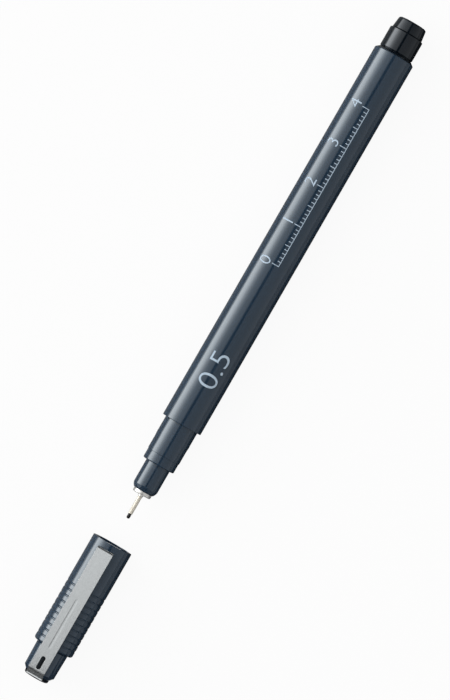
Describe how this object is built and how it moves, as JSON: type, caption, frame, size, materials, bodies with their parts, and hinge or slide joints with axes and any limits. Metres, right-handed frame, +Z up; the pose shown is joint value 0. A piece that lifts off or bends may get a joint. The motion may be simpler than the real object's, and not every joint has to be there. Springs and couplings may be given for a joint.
{
  "type": "fineliner pen",
  "caption": "Round fineliner pen with a metal-sheathed nib, stepped cap seat and tail plug, and a ribbed pull-off cap with a sprung steel clip.",
  "frame": {"origin": "under the middle of the pen and its pulled-off cap, on the surface that they lie on", "axes": "+X along the pen towards its tail, +Z up, where the cap's clip is"},
  "size_m": [0.1678, 0.0096, 0.0106],
  "materials": {
    "slate_plastic": "moulded dark slate blue plastic with a satin gloss",
    "black_plastic": "moulded black plastic, glossier than the barrel",
    "clip_steel": "stamped steel, brushed along its length",
    "tip_metal": "turned and plated, bright",
    "tube_steel": "drawn stainless tube",
    "nib_plastic": "extruded nib, black with ink",
    "ink_fibre": "bonded fibre soaked with black ink",
    "clear_film": "thin wrap round the fibre",
    "seal_plastic": "natural, slightly waxy plastic"
  },
  "bodies": {
    "pen": {"barrel": "slate_plastic", "nose_cone": "slate_plastic", "tip_ferrule": "tip_metal", "tip_tube": "tube_steel", "nib": "nib_plastic", "reservoir_core": "ink_fibre", "reservoir_film": "clear_film", "tail_plug": "black_plastic"},
    "cap": {"cap_shell": "slate_plastic", "inner_cap": "seal_plastic", "cap_crown": "black_plastic"},
    "clip_arm": {"clip": "clip_steel"}
  },
  "joints": [
    {"name": "cap_slide", "type": "slide", "parent": "pen", "child": "cap", "axis": [1, 0, 0], "range_m": [0, 0.03061]},
    {"name": "clip_flex", "type": "hinge", "parent": "cap", "child": "clip_arm", "pos_m": [-0.08314, 0, 0.0054], "axis": [0, -1, 0], "range_deg": [0, 3], "stiffness_Nm_per_rad": 0.45, "springref_deg": -5.73}
  ]
}
